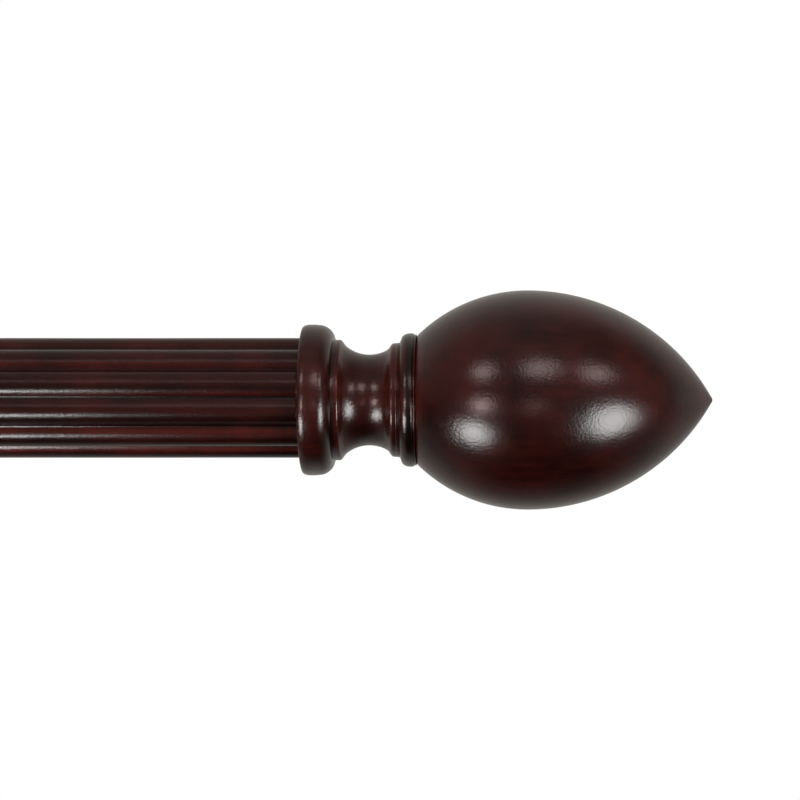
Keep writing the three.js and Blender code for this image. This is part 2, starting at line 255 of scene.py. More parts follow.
TOOL_MARK_SCALE = 5200.0  # along the axis
TOOL_MARK_ACROSS = 60.0
TOOL_MARK_HEIGHT = 0.00002
SPOT_SCALE = 900


def turned_metal(name, dark, bright, low, high, along):
    """Metal with fine tool marks round its axis and dull spots. low and high are its roughness."""
    material, shader = new_material(name)
    scale = [TOOL_MARK_ACROSS] * 3
    scale["XYZ".index(along)] = TOOL_MARK_SCALE
    coords = shader.add("ShaderNodeTexCoord").outputs["Object"]
    ringed = shader.add("ShaderNodeMapping", {"Vector": coords, "Scale": scale})
    marks = shader.noise(ringed.outputs["Vector"], 1.0, 3, 0.6)
    spots = shader.noise(coords, SPOT_SCALE, 4, 0.65)
    surface(shader, {
        "Base Color": shader.ramp(spots, [(0.35, dark), (0.62, bright)]),
        "Metallic": 1.0,
        "Roughness": shader.map_noise(spots, high, low),
        "Normal": shader.bump(marks, 0.3, TOOL_MARK_HEIGHT),
    })
    return material


WOOD_X = mahogany("mahogany_along_x", "X")
WOOD_Y = mahogany("mahogany_along_y", "Y")
DOWEL_X = bare_wood("bare_wood_along_x", "X")
DOWEL_Y = bare_wood("bare_wood_along_y", "Y")
ZINC = ((0.36, 0.36, 0.35), (0.60, 0.61, 0.60), 0.28, 0.5)
BRASS = ((0.40, 0.25, 0.09), (0.72, 0.50, 0.20), 0.22, 0.42)
ZINC_X = turned_metal("zinc_along_x", *ZINC, "X")
ZINC_Y = turned_metal("zinc_along_y", *ZINC, "Y")
BRASS_X = turned_metal("brass_along_x", *BRASS, "X")
BRASS_Y = turned_metal("brass_along_y", *BRASS, "Y")
BRASS_Z = turned_metal("brass_along_z", *BRASS, "Z")

# ---------------------------------------------------------------- mesh helpers

SHARP = math.radians(32)  # edges that turn by more are drawn sharp
UNIT = Matrix.Scale(MM, 4)


def arc(along, radius, half_length, half_height, start, end, steps):
    """Points on an ellipse round (along, radius), both ends included. Angles are in degrees."""
    points = []
    for i in range(steps + 1):
        angle = math.radians(start + (end - start) * i / steps)
        x, y = half_length * math.cos(angle), half_height * math.sin(angle)
        points.append((along + x, radius + y))
    return points


def circle(along, radius, sides):
    if radius == 0:
        return [Vector((along, 0, 0))]
    angles = [2 * math.pi * k / sides for k in range(sides)]
    return [Vector((along, radius * math.cos(a), radius * math.sin(a))) for a in angles]


def loft(name, rings, place, material, closed=False, wear_and_painted_light=None):
    """A mesh through rings of points, where a ring of one point is a tip.

    closed joins the last ring to the first, as in a tube. The tone values, one for each point, hold
    rubbed wear together with painted shade and painted highlight.
    """
    points = [point for ring in rings for point in ring]
    starts = [sum(len(ring) for ring in rings[:i]) for i in range(len(rings))]
    pairs = list(zip(range(len(rings)), range(1, len(rings))))
    if closed:
        pairs.append((len(rings) - 1, 0))
    faces = []
    for a, b in pairs:
        sides = max(len(rings[a]), len(rings[b]))
        for k in range(sides):
            corners = []
            for ring, index in ((a, k), (a, k + 1), (b, k + 1), (b, k)):
                corner = starts[ring] + index % len(rings[ring])
                if corner not in corners:
                    corners.append(corner)
            faces.append(corners)
    mesh = bpy.data.meshes.new(name)
    mesh.from_pydata([place @ UNIT @ point for point in points], [], faces)
    if wear_and_painted_light:
        mesh.attributes.new("wear_and_painted_light", "FLOAT", "POINT").data.foreach_set("value", wear_and_painted_light)
    return as_piece(name, mesh, material)


def as_piece(name, mesh, material):
    """An object of the mesh, with outward normals and one material."""
    shell = bmesh.new()
    shell.from_mesh(mesh)
    bmesh.ops.recalc_face_normals(shell, faces=shell.faces)
    shell.to_mesh(mesh)
    shell.free()
    mesh.materials.clear()
    mesh.materials.append(material)
    mesh.shade_smooth()
    mesh.set_sharp_from_angle(angle=SHARP)
    piece = bpy.data.objects.new(name, mesh)
    bpy.context.scene.collection.objects.link(piece)
    return piece


def fade(x, start, end, edge):
    """1 between start and end, falling to 0 over edge on both sides."""
    outside = max(start - x, x - end, 0)
    return max(0, 1 - outside / edge)


BAND_FADE = 0.4  # mm
UNDERSIDE_SHADE_FADE = (0.55, 1, 0.35)  # start, end and edge of the painted underside shade, where 1 faces straight down


def turned(name, outline, place, material, sides=160, closed=False, bands=(), underside_shade=0.0):
    """A lathe shape from its outline. bands are (from, to, amount) stretches of the axis, where a
    positive amount is rubbed wear and a negative one painted shade.

    The underside shade is painted shade: how much darker the stain is made on the underside, down
    local Z.
    """
    rings = [circle(along, radius, sides) for along, radius in outline]
    wear_and_painted_light = []
    for ring in rings:
        at = ring[0].x
        # A band adds rubbed wear where positive and painted shade where negative.
        band_wear_and_shade = sum(amount * fade(at, start, end, BAND_FADE) for start, end, amount in bands)
        for point in ring:
            # Painted shade: the underside, where it faces down, is made darker.
            down = -point.z / max(math.hypot(point.y, point.z), 0.001)
            wear_and_painted_light.append(band_wear_and_shade - underside_shade * fade(down, *UNDERSIDE_SHADE_FADE))
    return loft(name, rings, place, material, closed, wear_and_painted_light)


def boolean(piece, operation, tools):
    """Cuts or joins the tools, which are used up, and keeps the piece's material."""
    for tool in tools:
        modifier = piece.modifiers.new("join", "BOOLEAN")
        modifier.operation = operation
        modifier.solver = "EXACT"
        modifier.object = tool
    evaluated = piece.evaluated_get(bpy.context.evaluated_depsgraph_get())
    result = bpy.data.meshes.new_from_object(evaluated)
    name, material = piece.name, piece.data.materials[0]
    for used in (piece, *tools):
        bpy.data.objects.remove(used)
    return as_piece(name, result, material)


def stand_for(piece, body, slot, *nodes):
    """Puts a piece in the place of CAD nodes, on their body. The slot argument is not used."""
    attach(piece, body)
    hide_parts(*nodes)


def paint_node(node, material):
    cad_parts[node].data.materials.clear()
    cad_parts[node].data.materials.append(material)


# ---------------------------------------------------------------- pole

STUD_BORE = 4.27
INSERT_BORE = 6.2
END_LENGTH = 0.8  # the pole's rings are closer together over this length at its ends
REEDS = 12
HALF_PITCH = math.pi / REEDS
REED_RADIUS = 4.43
REED_CIRCLE = 13.07  # the reeds' centres lie on this radius
REED_STEPS = 16
FILLET_STEPS = 8
# The radius at the bottom of the groove that follows each reed, as the cutter left it.
GROOVE_FILLETS = (0.5, 0.55, 0.45, 0.5, 0.5, 0.85, 0.85, 0.3, 0.5, 0.6, 0.45, 0.5)
POLE_RINGS = 120
WANDER = 0.035  # how far a reed's surface strays along the pole
WANDER_WAVE = 38
WANDER_ACROSS = 2.1
FINE_WANDER = 0.4  # of WANDER, on top of it, in shorter waves
FINE_WAVES = 3.7
# How far the stain is rubbed, with painted light added, on the two flanks of each reed, which are
# numbered from +Y towards +Z.
# Painted light in it: a glint on the upper flank of reed 8, counting from 0, and shade on the lower
# flanks of reeds 6 and 7.
FLANK_WEAR_AND_PAINTED_LIGHT = [
    (0.1, 0.5), (0.5, 0.1), (0.0, 0.5), (0.0, 0.4), (0.0, 1.6), (0.0, 0.7),
    (0.05, -0.3), (0.75, -0.3), (1.0, -0.1), (0.4, 0.1), (0.1, 0.5), (0.4, 0.0),
]
FLANK_AT = 0.80  # the flank's middle, from 0 at the top of a reed to 1 at its edge
FLANK_WIDTH = 0.34
RUB_MEAN = 0.75
RUB_SPREAD = 0.9
RUB_WAVE = 70  # mm
REED_REACH = 1.85  # radians, from the top of a reed to its edge
REED_UNDERSIDE_SHADE = 0.33  # painted shade: how much darker the stain is made where a reed faces down
REED_UNDERSIDE_SHADE_FADE = (0.4, 1, 0.3)
GROOVE_SHADE = 0.7  # painted shade: how much darker the tone is at the bottom of a groove


def polar(radius, angle):
    return Vector((math.cos(angle), math.sin(angle))) * radius


def reed_angle(reed):
    return (2 * reed + 1) * HALF_PITCH


def groove(reed):
    """The fillet after a reed: where its hub is, and the lean of the line to it from the reed's."""
    chord = REED_CIRCLE * math.sin(HALF_PITCH)
    rise = math.sqrt((REED_RADIUS + GROOVE_FILLETS[reed])**2 - chord**2)
    return REED_CIRCLE * math.cos(HALF_PITCH) + rise, math.atan2(chord, rise)


def reed_ring():
    """The section, round reeds and filleted grooves, as ((y, z), reed, across, depth) points.

    across runs from -1 to 1 over a reed, and depth from 0 on the reeds to 1 at a groove's bottom.
    """
    points = []
    for reed in range(REEDS):
        at = reed_angle(reed)
        before = groove(reed - 1)[1] + HALF_PITCH
        fillet_at, lean = groove(reed)
        after = lean + HALF_PITCH
        for k in range(REED_STEPS + 1):
            share = k / REED_STEPS
            angle = at - before + (before + after) * share
            point = polar(REED_CIRCLE, at) + polar(REED_RADIUS, angle)
            points.append((point, reed, 2 * share - 1, 0))
        between = at + HALF_PITCH
        for k in range(1, FILLET_STEPS):
            share = 2 * k / FILLET_STEPS - 1
            fillet = polar(GROOVE_FILLETS[reed], between + math.pi - lean * share)
            side = (reed, 1) if share < 0 else ((reed + 1) % REEDS, -1)
            points.append((polar(fillet_at, between) + fillet, *side, 1 - abs(share)))
    return points


def reed_wear_and_painted_light(x, point, reed, across, depth):
    """The stain is rubbed on the flanks, unevenly along the pole, and kept on top; painted shade
    darkens the grooves and where the reeds face down.

    The first flank is the one at the smaller angle.
    """
    first, second = FLANK_WEAR_AND_PAINTED_LIGHT[reed]
    flank = max(0, 1 - abs(abs(across) - FLANK_AT) / FLANK_WIDTH)
    amount = (first if across < 0 else second) * flank
    amount *= RUB_MEAN + RUB_SPREAD * noise.noise(Vector((x / RUB_WAVE, point.x, point.y)))
    down = -math.sin(reed_angle(reed) + across * REED_REACH)
    # Painted shade at the bottom of the grooves and where a reed faces down.
    return amount - GROOVE_SHADE * depth - REED_UNDERSIDE_SHADE * fade(down, *REED_UNDERSIDE_SHADE_FADE)


def pole():
    section = reed_ring()
    angles = [math.atan2(p.y, p.x) for p, *_ in section]
    half = (POLE_HIGH.x - POLE_LOW.x) / 2 / MM
    drop = FINIAL_DROP / MM

    def bore(x, radius):
        if radius == 0:
            return [Vector((x, 0, -drop))]
        return [Vector((x, radius * math.cos(a), radius * math.sin(a) - drop)) for a in angles]

    def outside(x, shrink):
        ring = []
        for p, *_ in section:
            seed = Vector((x / WANDER_WAVE, p.x * WANDER_ACROSS, p.y * WANDER_ACROSS))
            fine = WANDER * FINE_WANDER * noise.noise(seed * FINE_WAVES)
            wander = WANDER * noise.noise(seed) + fine
            q = p + p.normalized() * (wander - shrink)
            ring.append(Vector((x, q.x, q.y)))
        return ring

    def end(sign):
        """From the bottom of the stud's hole to the chamfer."""
        face = sign * half
        hole = (
            (18, 0), (18, STUD_BORE), (14.6, STUD_BORE),
            (14.6, INSERT_BORE), (0.4, INSERT_BORE), (0, INSERT_BORE + 0.4),
        )
        chamfer = ((0, 0.25), (0.08, 0.08), (0.25, 0), (0.45, 0), (END_LENGTH, 0))
        rings = [bore(face - sign * depth, radius) for depth, radius in hole]
        return rings + [outside(face - sign * depth, shrink) for depth, shrink in chamfer]

    start, length = END_LENGTH - half, 2 * half - 2 * END_LENGTH
    middle = [outside(start + length * i / POLE_RINGS, 0) for i in range(1, POLE_RINGS)]
    rings = [*end(-1), *middle, *reversed(end(1))]
    wear_and_painted_light = []
    for ring in rings:
        if len(ring) == 1:
            wear_and_painted_light.append(0)
        else:
            wear_and_painted_light += [reed_wear_and_painted_light(ring[0].x, *place) for place in section]
    piece = loft("reeded_pole", rings, Matrix.Translation(POLE_AXIS), WOOD_X, wear_and_painted_light=wear_and_painted_light)
    stand_for(piece, "pole", "mahogany", "pole")


# ---------------------------------------------------------------- finials

SEAM = 32.58  # the bulb is a piece of its own, from here to the tip
DOWEL_BORE = 6.3


def finial_base(side):
    """Flange, step, cove, bead and ring.

    The flange is rounded a little at the pole's side and much more at the other.
    """
    outline = [
        (18.3, 0), (18.3, STUD_BORE), (0.5, STUD_BORE), (0, STUD_BORE + 0.5),
        *arc(0.7, 20.61, 0.7, 0.7, 180, 114, 10),
        *arc(2.14, 17.32, 4.3, 4.3, 112, 91, 8),
        *arc(2.8, 5.62, 16, 16, 91.5, 83, 5), (5.25, 21.44),
        *arc(3.9, 17.71, 4.95, 3.93, 69, 3, 28),
        (8.9, 17.5), (9.0, 17.3), (9.15, 17.27),
        *arc(10.43, 16.37, 0.9, 0.9, 90, 25, 10),
        *arc(18.95, 23.53, 10.5, 10.5, 229.5, 296, 48),
        (24.35, 14.6),
        *arc(26.17, 15.1, 1.15, 1.2, 148, 90, 10),
        (26.6, 16.31), (26.85, 16.32), (27.0, 16.32),
        *arc(27.3, 16.12, 0.36, 0.31, 140, 70, 8),
        (27.55, 16.36), (27.72, 16.5), (27.85, 16.85),
        *arc(30.6, 17.36, 2.46, 1.77, 176, 90, 20),
        *arc(31.2, 18.58, 0.72, 0.54, 88, 20, 8),
        (31.95, 18.6), (32.02, 18.6),
        *arc(32.27, 18.5, 0.26, 0.3, 160, 40, 8),
        (32.5, 18.5), (SEAM, 18.3), (SEAM, DOWEL_BORE), (20.3, DOWEL_BORE), (20.3, 0),
    ]
    # Rubbed wear on the flange, the step's edge, the bead, the ring and the lip; painted shade in
    # the crease where the flange meets the step, in the cove and beside the ring's seam.
    bands = [
        (0.2, 6.0, 0.12), (8.8, 9.0, -0.5), (9.3, 11.2, 0.3), (14.0, 21.5, -0.2),
        (25.4, 27.2, 0.3), (28.0, 29.6, 0.1), (30.2, 31.9, -0.6), (32.2, SEAM, 0.3),
    ]
    place = finial_place(side)
    # The underside gets painted shade.
    piece = turned(f"turned_base_{side}", outline, place, WOOD_X, 200, bands=bands, underside_shade=0.4)
    stand_for(piece, f"finial_{side}", "mahogany", f"finial_base_{side}")


BULB_RADIUS = 31.4
BULB_AT = 64.26  # its widest place
BULB_BACK = 45.1  # radius of the curve towards the seam
BULB_NOSE = 60.73  # radius of the curve towards the tip
TIP_RADIUS = 0.9


def finial_bulb(side):
    """Two curves that meet at the widest place, a small rounding at the seam and a blunt tip."""
    tip = (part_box(f"finial_bulb_{side}")[1 if side == "right" else 0].x) / MM
    length = abs(tip) - FINIAL_FACE / MM
    back_hub, nose_hub = BULB_RADIUS - BULB_BACK, BULB_RADIUS - BULB_NOSE
    back_from = 90 + math.degrees(math.asin((BULB_AT - SEAM - 0.3) / BULB_BACK))
    nose_to = math.degrees(math.asin((TIP_RADIUS + 0.3 - nose_hub) / BULB_NOSE))
    outline = [
        (55.2, 0), (55.2, DOWEL_BORE),
        (SEAM + 0.03, DOWEL_BORE), (SEAM + 0.03, 18.3), (SEAM + 0.12, 18.45),
        *arc(BULB_AT, back_hub, BULB_BACK, BULB_BACK, back_from, 90, 64),
        *arc(BULB_AT, nose_hub, BULB_NOSE, BULB_NOSE, 90, nose_to, 88)[1:],
        (length - 0.22, 0.72), (length - 0.06, 0.36), (length, 0),
    ]
    bands = [(SEAM, 34.5, 0.3)]
    place = finial_place(side)
    # The underside gets painted shade.
    piece = turned(f"turned_bulb_{side}", outline, place, WOOD_X, 224, bands=bands, underside_shade=0.15)
    stand_for(piece, f"finial_{side}", "mahogany", f"finial_bulb_{side}")


# ---------------------------------------------------------------- threaded hardware

THREAD_SIDES = 40
THREAD_STEPS = 8  # rings to a turn
THREAD_SLOPE = 1.25  # above 1 leaves a flat between ridges
STUD_PITCH = 25.4 / 18
STUD_WOOD_PITCH = 2.4
SCREW_PITCH = 2.3
BOLT_PITCH = 1.27
SET_SCREW_PITCH = 0.8


def thread(start, end, pitch, root, crest, taper_to=None):
    """Rings of a screw thread. With taper_to, the crest and root shrink evenly to that crest."""
    count = max(2, round(abs(end - start) / pitch * THREAD_STEPS))
    rings = []
    for i in range(count + 1):
        share = i / count
        along = start + (end - start) * share
        run_in = min(1, 2 * i / THREAD_STEPS, 2 * (count - i) / THREAD_STEPS)
        scale = 1 if taper_to is None else 1 + (taper_to / crest - 1) * share
        ring = []
        for k in range(THREAD_SIDES):
            angle = 2 * math.pi * k / THREAD_SIDES
            phase = (along / pitch - k / THREAD_SIDES) % 1
            ridge = max(0, 1 - abs(2 * phase - 1) * THREAD_SLOPE)
            radius = (root + (crest - root) * ridge * run_in) * scale
            ring.append(Vector((along, radius * math.cos(angle), radius * math.sin(angle))))
        rings.append(ring)
    return rings


def plain(*outline):
    """Rings of a screw's smooth parts."""
    return [circle(along, radius, THREAD_SIDES) for along, radius in outline]


CROSS_SLENDERNESS = 9
CROSS_TAPER = 0.45


def cross_recess(width, depth, at, place):
    """Two thin wedges that cut a cross into a screw's head. depth is signed, along the axis."""
    tools = []
    for angle in (0, math.pi / 2):
        long, thin = width / 2, width / CROSS_SLENDERNESS
        rings = []
        for share in (-0.4, 0, 1):
            reach = long * (1 - CROSS_TAPER * max(share, 0))
            corners = ((reach, thin), (-reach, thin), (-reach, -thin), (reach, -thin))
            rings.append([Vector((at + depth * share, y, z)) for y, z in corners])
        centre_in = [Vector((rings[-1][0].x, 0, 0))]
        centre_out = [Vector((rings[0][0].x, 0, 0))]
        spin = place @ Matrix.Rotation(angle, 4, "X")
        tools.append(loft(f"cross_{angle:.1f}", [centre_out, *rings, centre_in], spin, ZINC_Y))
    return tools


def finial_stud(side):
    """A hanger bolt: machine thread towards the pole, wood thread in the finial."""
    rings = [
        *plain((-16, 0), (-16, 3.0), (-15.4, 3.35)),
        *thread(-15.3, -1.0, STUD_PITCH, 3.35, 3.95),
        *plain((-0.6, 3.5), (1.2, 3.5)),
        *thread(1.6, 13.5, STUD_WOOD_PITCH, 2.7, 3.95),
        *thread(13.6, 17.4, STUD_WOOD_PITCH, 2.7, 3.95, taper_to=1.2),
        *plain((18, 0)),
    ]
    piece = loft(f"hanger_bolt_{side}", rings, finial_place(side), ZINC_X)
    stand_for(piece, f"stud_{side}", "zinc", f"finial_stud_{side}")


def pole_insert(side):
    """A brass tube with a groove round its outside, just inside the pole's end."""
    outline = [
        (-0.9, 4.3), (-0.6, 4.6), (-0.6, 5.5), (-0.9, 5.85), (-3.0, 5.85), (-3.3, 5.4),
        (-4.0, 5.4), (-4.3, 5.85), (-13.6, 5.85), (-14.2, 5.3), (-14.2, 4.6), (-13.9, 4.3),
    ]
    piece = turned(f"brass_insert_{side}", outline, finial_place(side), BRASS_X, 64, closed=True)
    stand_for(piece, "pole", "brass", f"pole_insert_{side}")


WALL_SCREWS = {"upper": 14.5, "lower": -14.5}  # heights from the plate's middle


def wall_screw(side, which, height):
    place = bracket_place(side) @ Matrix.Translation((0, 0, height * MM))
    rings = [
        *plain((2.38, 0), (2.38, 3.7), (2.25, 4.05), (2.05, 4.0), (0.45, 2.2)),
        *plain((-0.2, 1.85), (-6, 1.85)),
        *thread(-6.3, -29, SCREW_PITCH, 1.35, 2.05),
        *thread(-29.1, -34.6, SCREW_PITCH, 1.35, 2.05, taper_to=0.35),
        *plain((-35.5, 0)),
    ]
    piece = loft(f"wood_screw_{which}_{side}", rings, place, ZINC_Y)
    piece = boolean(piece, "DIFFERENCE", cross_recess(4.6, -1.5, 2.38, place))
    stand_for(piece, "wall_brackets", "zinc", f"wall_screw_{which}_{side}")


def arm_bolt(side):
    """A flat-head machine bolt, driven from behind the plate."""
    place = bracket_place(side)
    rings = [
        *plain((0.12, 0), (0.12, 6.1), (0.25, 6.28), (0.45, 6.2), (2.1, 3.3), (2.8, 3.0), (9, 3.0)),
        *thread(9.3, 33, BOLT_PITCH, 2.65, 3.15),
        *plain((34, 2.2), (34, 0)),
    ]
    piece = loft(f"machine_bolt_{side}", rings, place, ZINC_Y)
    piece = boolean(piece, "DIFFERENCE", cross_recess(7.6, 1.8, 0.12, place))
    stand_for(piece, "wall_brackets", "zinc", f"arm_bolt_{side}")


def set_screw(side):
    """A domed screw whose head, with a slot across it, is just under the cup."""
    place = set_screw_place(side)
    head = -26.15
    slot_half = 0.55
    rings = [
        *plain((head - 3.0, 0), (head - 3.0, 3.4)),
        *plain(*arc(head - 1.9, 3.4, 1.1, 1.2, 180, 90, 5)),
        *plain((head - 0.25, 4.6), (head, 4.35), (head, 2.35), (head + 0.5, 2.1)),
        *thread(head + 0.7, -18.6, SET_SCREW_PITCH, 2.0, 2.38),
        *plain((-17.9, 1.8), (-17.9, 0)),
    ]
    piece = loft(f"slotted_screw_{side}", rings, place, BRASS_Z)
    corners = ((-6, -slot_half), (6, -slot_half), (6, slot_half), (-6, slot_half))
    bottom, top = [[Vector((x, y, z)) for y, z in corners] for x in (head - 4, head - 1.7)]
    ends = [[Vector((ring[0].x, 0, 0))] for ring in (bottom, top)]
    slot_tool = loft("slot_tool", [ends[0], bottom, top, ends[1]], place, BRASS_Z)
    piece = boolean(piece, "DIFFERENCE", [slot_tool])
    stand_for(piece, f"set_screw_{side}", "brass", f"set_screw_{side}")


# ---------------------------------------------------------------- brackets

ARM_END = 61.4  # from the wall to the seam between arm and cup
DRUM_RADIUS = 11.5  # of both, at the seam
BOLT_BORE = 3.47
ARM_DOWEL_BORE = 4.3


def rosette(side):
    """A ring-shaped lathe piece with a recess for the plate and a hole for the bolt."""
    outline = [
        (0.3, 23.6), (0, 24.0), (0, 31.0), (0.5, 31.3),
        (3.2, 31.9), *arc(3.6, 28.6, 3.4, 3.4, 90, 0, 14), (7.2, 26.4),
        *arc(8.1, 25.5, 0.75, 0.75, 100, 0, 6), (8.5, 24.6),
        *arc(14, 24, 5.5, 6, 182, 268, 18), (13.9, 17.7), (14, 17.3),
        (14, 3.9), (13.6, BOLT_BORE), (2.8, BOLT_BORE), (2.8, 23.6),
    ]
    piece = turned(f"moulded_rosette_{side}", outline, bracket_place(side), WOOD_X, closed=True)
    stand_for(piece, "wall_brackets", "mahogany", f"rosette_{side}")


def arm(side):
    """Foot, long cove, bead and a drum that meets the cup's."""
    foot = 14.05
    neck = 8.6
    outline = [
        (35, 0), (35, BOLT_BORE), (28.2, BOLT_BORE), (28.2, 5.5), (foot, 5.5), (foot, 12.9),
        *arc(foot + 1.8, 13.7, 1.75, 1.75, 205, 90, 12), (foot + 2.4, 15.35), (foot + 3.2, 14.6),
        *arc(foot + 15, neck + 7, 11, 7, 188, 270, 26),
        (40, neck), (42.8, neck + 0.05), (43.6, neck + 0.5), (44.0, neck + 0.55),
        *arc(46.6, neck + 1.2, 2.2, 3.0, 170, 10, 22),
        (49.2, neck + 0.6), (50.2, neck + 0.35), (51.4, neck + 0.5),
        *arc(54.6, 9.9, 2.4, 1.6, 180, 90, 10), (56, DRUM_RADIUS),
        (ARM_END - 0.3, DRUM_RADIUS), (ARM_END, 11.2),
        (ARM_END, ARM_DOWEL_BORE), (51.1, ARM_DOWEL_BORE), (51.1, 0),
    ]
    piece = turned(f"turned_arm_{side}", outline, bracket_place(side), WOOD_Y, 128)
    stand_for(piece, "wall_brackets", "mahogany", f"arm_{side}")


CUP_RADIUS = 17.85  # inside, round the pole
CUP_WALL = 7.5
CUP_RIM = 6.0  # the straight sides rise this far above the pole's axis
CUP_HALF_WIDTH = 12.0
CUP_ROUND = 2.2  # its edges' rounding
CUP_DRUM_LENGTH = 6.4
CUP_INSERT_BORE = 4.2
CUP_BORE_SIDES = 48


def cup_section():
    """The U as (out, up) points round the pole's axis, with each point's outward direction."""
    outer = CUP_RADIUS + CUP_WALL
    tip = CUP_WALL / 2
    tip_at = CUP_RADIUS + tip
    points = [
        *arc(0, 0, outer, outer, -180, 0, 96),
        (outer, CUP_RIM / 2),
        *arc(tip_at, CUP_RIM, tip, tip, 0, 180, 20),
        (CUP_RADIUS, CUP_RIM / 2),
        *arc(0, 0, CUP_RADIUS, CUP_RADIUS, 0, -180, 96),
        (-CUP_RADIUS, CUP_RIM / 2),
        *arc(-tip_at, CUP_RIM, tip, tip, 0, 180, 20),
        (-outer, CUP_RIM / 2),
    ]
    section = []
    for i, point in enumerate(points):
        before, after = Vector(points[i - 1]), Vector(points[(i + 1) % len(points)])
        along = (after - before).normalized()
        section.append((Vector(point), Vector((along.y, -along.x))))
    return section


def cup(side):
    """The U with rounded edges, joined to a drum behind it, less the dowel's and insert's bores."""
    place = bracket_place(side)
    section = cup_section()

    def ring(across, inset):
        ring_points = [point - outward * inset for point, outward in section]
        return [Vector((WALL_TO_POLE + p.x, across, p.y)) for p in ring_points]

    rounding = arc(0, 0, CUP_ROUND, CUP_ROUND, 90, 0, 7)
    rings = [ring(-CUP_HALF_WIDTH + CUP_ROUND - h, CUP_ROUND - a) for a, h in rounding]
    rings += [ring(CUP_HALF_WIDTH - CUP_ROUND + h, CUP_ROUND - a) for a, h in reversed(rounding)]
    blank = loft(f"carved_cup_{side}", rings, place, WOOD_X)
    shell = bmesh.new()
    shell.from_mesh(blank.data)
    bmesh.ops.holes_fill(shell, edges=[e for e in shell.edges if e.is_boundary])
    bmesh.ops.recalc_face_normals(shell, faces=shell.faces)
    shell.to_mesh(blank.data)
    shell.free()
    face = ARM_END + 0.05
    drum_end = face + CUP_DRUM_LENGTH
    rim = arc(face + 0.4, 11.1, 0.4, 0.4, 180, 90, 4)
    drum_outline = [(face, 0), (face, 11.1), *rim, (drum_end, DRUM_RADIUS), (drum_end, 0)]
    drum = turned("drum", drum_outline, place, WOOD_X, 96)
    start, end = face - 1, face + 6.8
    bore = [(start, 0), (start, ARM_DOWEL_BORE), (end, ARM_DOWEL_BORE), (end, 0)]
    dowel_bore = turned("dowel_bore", bore, place, WOOD_X, CUP_BORE_SIDES)
    start, end = -27, -16.5
    bore = [(start, 0), (start, CUP_INSERT_BORE), (end, CUP_INSERT_BORE), (end, 0)]
    insert_bore = turned("insert_bore", bore, set_screw_place(side), WOOD_X, CUP_BORE_SIDES)
    piece = boolean(blank, "UNION", [drum])
    piece = boolean(piece, "DIFFERENCE", [dowel_bore, insert_bore])
    stand_for(piece, "wall_brackets", "mahogany", f"cup_{side}")


def cup_insert(side):
    """The threaded bush for the set screw, under the pole."""
    low, high = -24.95, -18.35
    outline = [
        (low, 3.0), (low, 3.6), (low + 0.3, 3.88), (high - 0.3, 3.88), (high, 3.6), (high, 3.0),
        (high - 0.3, 2.7), (low + 0.3, 2.7),
    ]
    piece = turned(f"brass_bush_{side}", outline, set_screw_place(side), BRASS_Z, 48, closed=True)
    stand_for(piece, "wall_brackets", "brass", f"cup_insert_{side}")


def wall_plate(side):
    """A steel disc, countersunk behind for the bolt and in front for the two wall screws."""
    place = bracket_place(side)
    outline = [(0, 0), (0, 22.6), (0.4, 23), (2.1, 23), (2.5, 22.6), (2.5, 0)]
    blank = turned(f"steel_plate_{side}", outline, place, ZINC_Y, 96)
    bolt_hole = [(-1, 0), (-1, 6.6), (0.6, 6.6), (2.4, BOLT_BORE), (4, BOLT_BORE), (4, 0)]
    screw_hole = [(-1, 0), (-1, 2.35), (0.1, 2.35), (2.2, 4.4), (4, 4.4), (4, 0)]
    tools = [turned("bolt_hole", bolt_hole, place, ZINC_Y, 64)]
    for which, height in WALL_SCREWS.items():
        raised = place @ Matrix.Translation((0, 0, height * MM))
        tools.append(turned(f"screw_hole_{which}", screw_hole, raised, ZINC_Y, 48))
    piece = boolean(blank, "DIFFERENCE", tools)
    stand_for(piece, "wall_brackets", "zinc", f"wall_plate_{side}")


# ---------------------------------------------------------------- build

pole()
for side in SIDES:
    finial_base(side)
    finial_bulb(side)
    finial_stud(side)
    pole_insert(side)
    wall_plate(side)
    rosette(side)
    arm(side)
    arm_bolt(side)
    cup(side)
    cup_insert(side)
    set_screw(side)
    for which, height in WALL_SCREWS.items():
        wall_screw(side, which, height)
    paint_node(f"finial_dowel_{side}", DOWEL_X)
    paint_node(f"arm_dowel_{side}", DOWEL_Y)
    paint_node(f"arm_insert_{side}", BRASS_Y)

# ---------------------------------------------------------------- studio

PICTURE_PAST_FACE = 0.0277  # the middle of the picture, past the flange's face
AIM = Vector((FINIAL_FACE + PICTURE_PAST_FACE, POLE_AXIS.y, FINIAL_AXIS.z))
WARM = (1.0, 0.80, 0.77)


def softbox(name, offset, size, radiance, color=(1, 1, 1), shape="ELLIPSE", aim=AIM):
    """A lamp at an offset from the picture's middle, or from another point, turned towards it."""
    data = bpy.data.lights.new(name, "AREA")
    data.shape = shape
    data.size, data.size_y = size
    area = size[0] * size[1] * (math.pi / 4 if shape == "ELLIPSE" else 1)
    data.energy = radiance * math.pi * area
    data.color = color
    lamp = bpy.data.objects.new(name, data)
    lamp.location = aim + Vector(offset)
    lamp.rotation_euler = (aim - lamp.location).to_track_quat("-Z", "Y").to_euler()
    lamp.visible_camera = False
    bpy.context.scene.collection.objects.link(lamp)
    return lamp


def light_link(lamp, state, *pieces):
    """EXCLUDE keeps a lamp off the pieces, as a flag beside it would. INCLUDE lights only them."""
    linked = bpy.data.collections.new(f"{lamp.name}_link")
    for piece in pieces:
        linked.objects.link(piece)
    for entry in linked.collection_objects:
        entry.light_linking.link_state = state
    lamp.light_linking.receiver_collection = linked


reeded_pole = bpy.data.objects["reeded_pole"]
right_base = bpy.data.objects["turned_base_right"]
right_bulb = bpy.data.objects["turned_bulb_right"]

